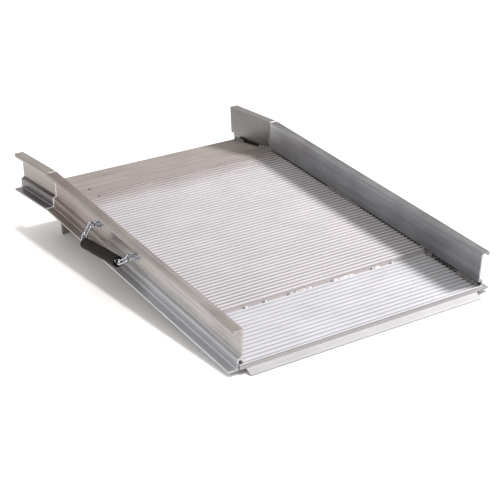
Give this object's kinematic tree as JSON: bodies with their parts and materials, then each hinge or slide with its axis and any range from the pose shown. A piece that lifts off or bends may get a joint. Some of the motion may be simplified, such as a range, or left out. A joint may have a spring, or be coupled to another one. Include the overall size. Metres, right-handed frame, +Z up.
{
  "type": "dog ramp",
  "caption": "Low welded aluminium dog ramp with a ribbed deck between flanged side rails, a level top plate on a kerb leg, a wedge lip and a swinging carry handle.",
  "frame": {"origin": "middle of the flat foot under the lower lip, on the floor", "axes": "+Y up the slope's horizontal run, towards the kerb; +Z up; +X across the ramp, away from the rail that carries the handle"},
  "size_m": [0.7377, 1.0777, 0.2166],
  "materials": {
    "deck_extrusion": "mill finish, lightly scuffed on the rib tops",
    "smooth_plate": "mill finish plate",
    "rail_extrusion": "mill finish extrusion with fine draw lines",
    "weld_bead": "rippled weld bead",
    "zinc_hardware": "bright zinc plate",
    "zinc_chain": "bright zinc plate",
    "grip_rubber": "satin black rubber tube"
  },
  "bodies": {
    "ramp": {"lip_nosing": "smooth_plate", "entry_plank": "deck_extrusion", "deck_plank_1": "deck_extrusion", "deck_plank_2": "deck_extrusion", "deck_plank_3": "deck_extrusion", "deck_plank_4": "deck_extrusion", "transition_strip": "deck_extrusion", "apron_plate": "smooth_plate", "left_rail": "rail_extrusion", "right_rail": "rail_extrusion", "left_rail_apron": "rail_extrusion", "right_rail_apron": "rail_extrusion", "kerb_leg": "smooth_plate", "mitre_welds": "weld_bead", "step_welds": "weld_bead", "strip_welds": "weld_bead", "plate_welds": "weld_bead", "leg_welds": "weld_bead", "lip_welds": "weld_bead", "left_deck_welds": "weld_bead", "right_deck_welds": "weld_bead", "left_apron_welds": "weld_bead", "right_apron_welds": "weld_bead", "eyebolts": "zinc_hardware", "outer_washers": "zinc_hardware", "inner_washers": "zinc_hardware", "outer_nuts": "zinc_hardware", "inner_nuts": "zinc_hardware"},
    "handle_chain": {"lower_end_link": "zinc_chain", "upper_end_link": "zinc_chain", "upper_hanger_link": "zinc_chain", "grip_chain": "zinc_chain"},
    "grip": {"handle_grip": "grip_rubber"}
  },
  "joints": [
    {"name": "handle_swing", "type": "hinge", "parent": "ramp", "child": "handle_chain", "pos_m": [-0.3484, 0.45427, 0.12102], "axis": [0, 0.9923, 0.124], "range_deg": [-15, 100]},
    {"name": "grip_spin", "type": "hinge", "parent": "handle_chain", "child": "grip", "pos_m": [-0.36679, 0.46652, 0.11436], "axis": [-0.011, 0.9992, -0.0394], "continuous": true}
  ]
}
